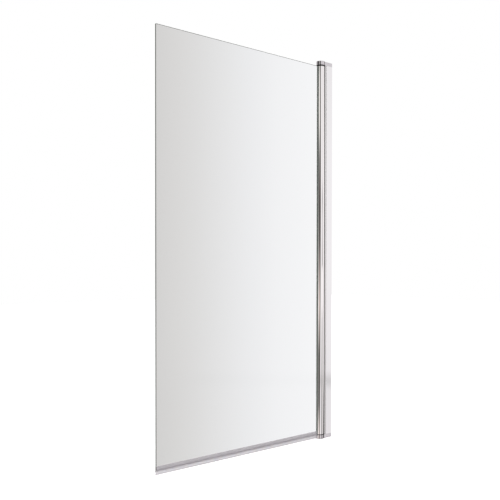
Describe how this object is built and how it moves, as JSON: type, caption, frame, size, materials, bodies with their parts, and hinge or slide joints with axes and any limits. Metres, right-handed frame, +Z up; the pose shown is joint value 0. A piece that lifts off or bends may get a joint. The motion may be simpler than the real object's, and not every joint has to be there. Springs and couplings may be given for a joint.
{
  "type": "bath screen",
  "caption": "Single-panel pivot bath screen: a clear glass pane held in a round hinge tube that swings both ways on a chromed post and wall channel.",
  "frame": {"origin": "on the wall face, in the plane of the closed glass, at the height of the bath rim under the bottom cap", "axes": "+Z up; +X into the wall, so the glass reaches towards -X; +Y towards the bath, so the outside of the screen faces -Y"},
  "size_m": [0.785, 0.0335, 1.433],
  "materials": {
    "polished_aluminium": "polished",
    "chromed_plastic": "polished",
    "cast_block": "matte",
    "steel": "satin",
    "white_nylon": "matte",
    "black_acetal": "satin",
    "grey_seal": "matte",
    "clear_seal": "gloss",
    "clear_glass": "gloss"
  },
  "bodies": {
    "wall_post": {"wall_channel": "polished_aluminium", "pivot_post": "polished_aluminium", "front_cove_seal": "grey_seal", "rear_cove_seal": "grey_seal", "bottom_cap": "chromed_plastic", "top_cap": "chromed_plastic", "bottom_pivot_block": "cast_block", "top_pivot_block": "cast_block", "bottom_block_screws": "steel", "top_block_screws": "steel", "bottom_pivot_pin": "steel", "top_pivot_pin": "steel", "thrust_washer": "steel", "side_screws": "steel", "side_screw_washers": "white_nylon", "side_screw_covers": "chromed_plastic"},
    "screen": {"hinge_tube": "polished_aluminium", "bottom_bush": "black_acetal", "top_bush": "black_acetal", "glazing_gasket": "grey_seal", "glass_panel": "clear_glass", "bottom_seal": "clear_seal"}
  },
  "joints": [
    {"name": "screen_pivot", "type": "hinge", "parent": "wall_post", "child": "screen", "pos_m": [-0.051, 0, 0], "axis": [0, 0, 1], "range_deg": [-90, 90]}
  ]
}
